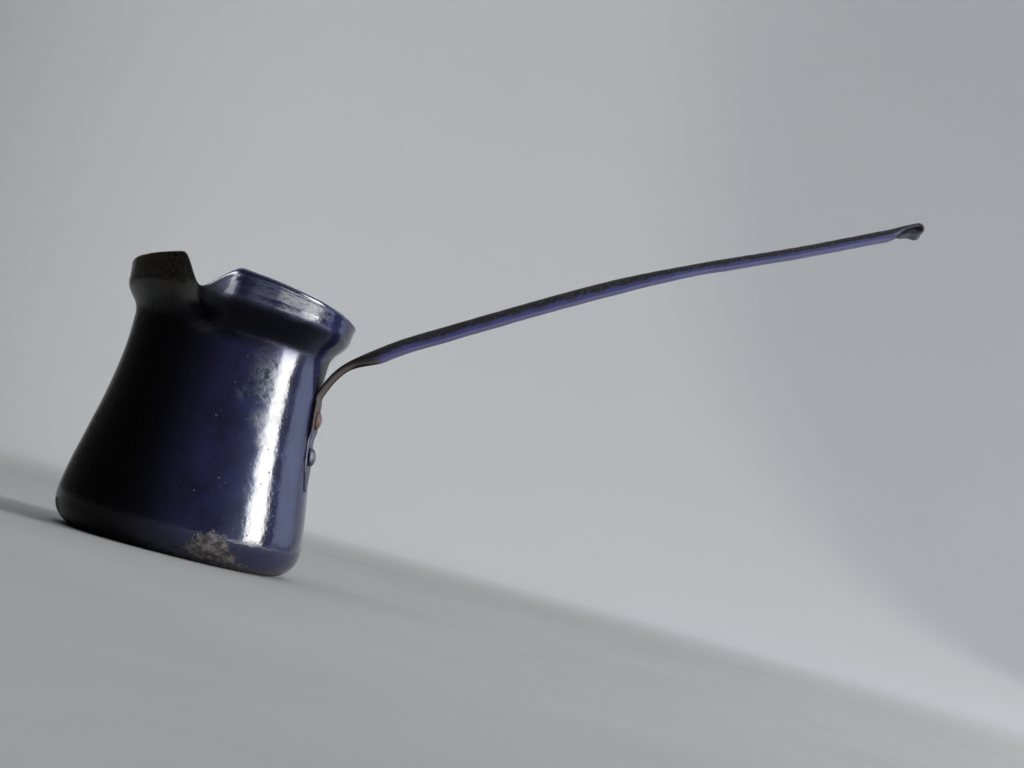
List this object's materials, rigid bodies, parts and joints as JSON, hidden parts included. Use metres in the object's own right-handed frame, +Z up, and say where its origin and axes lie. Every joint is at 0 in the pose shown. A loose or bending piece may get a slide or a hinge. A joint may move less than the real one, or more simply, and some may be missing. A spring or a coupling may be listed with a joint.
{
  "type": "long-handled coffee pot",
  "caption": "Small blue enamelled steel pot, wide at the base and narrow at the neck, with an upright collar, a pinched side pouring lip and a long riveted strip handle.",
  "frame": {"origin": "centre of the underside of the pot, on the surface that it stands on", "axes": "+Z up along the axis of the pot, +X along the handle, the pouring lip faces -Y"},
  "size_m": [0.2171, 0.0765, 0.1413],
  "materials": {
    "pot_enamel": "glossy vitreous enamel, chipped to rusty steel at the base edge and the lip",
    "handle_enamel": "worn vitreous enamel, bare brown steel near the neck",
    "rusty_rivet": "rusted steel",
    "enamelled_rivet": "enamelled over, satin"
  },
  "bodies": {
    "root": {"pot_body": "pot_enamel", "handle_strap": "handle_enamel", "rivet_upper": "rusty_rivet", "rivet_lower": "enamelled_rivet"}
  },
  "joints": []
}
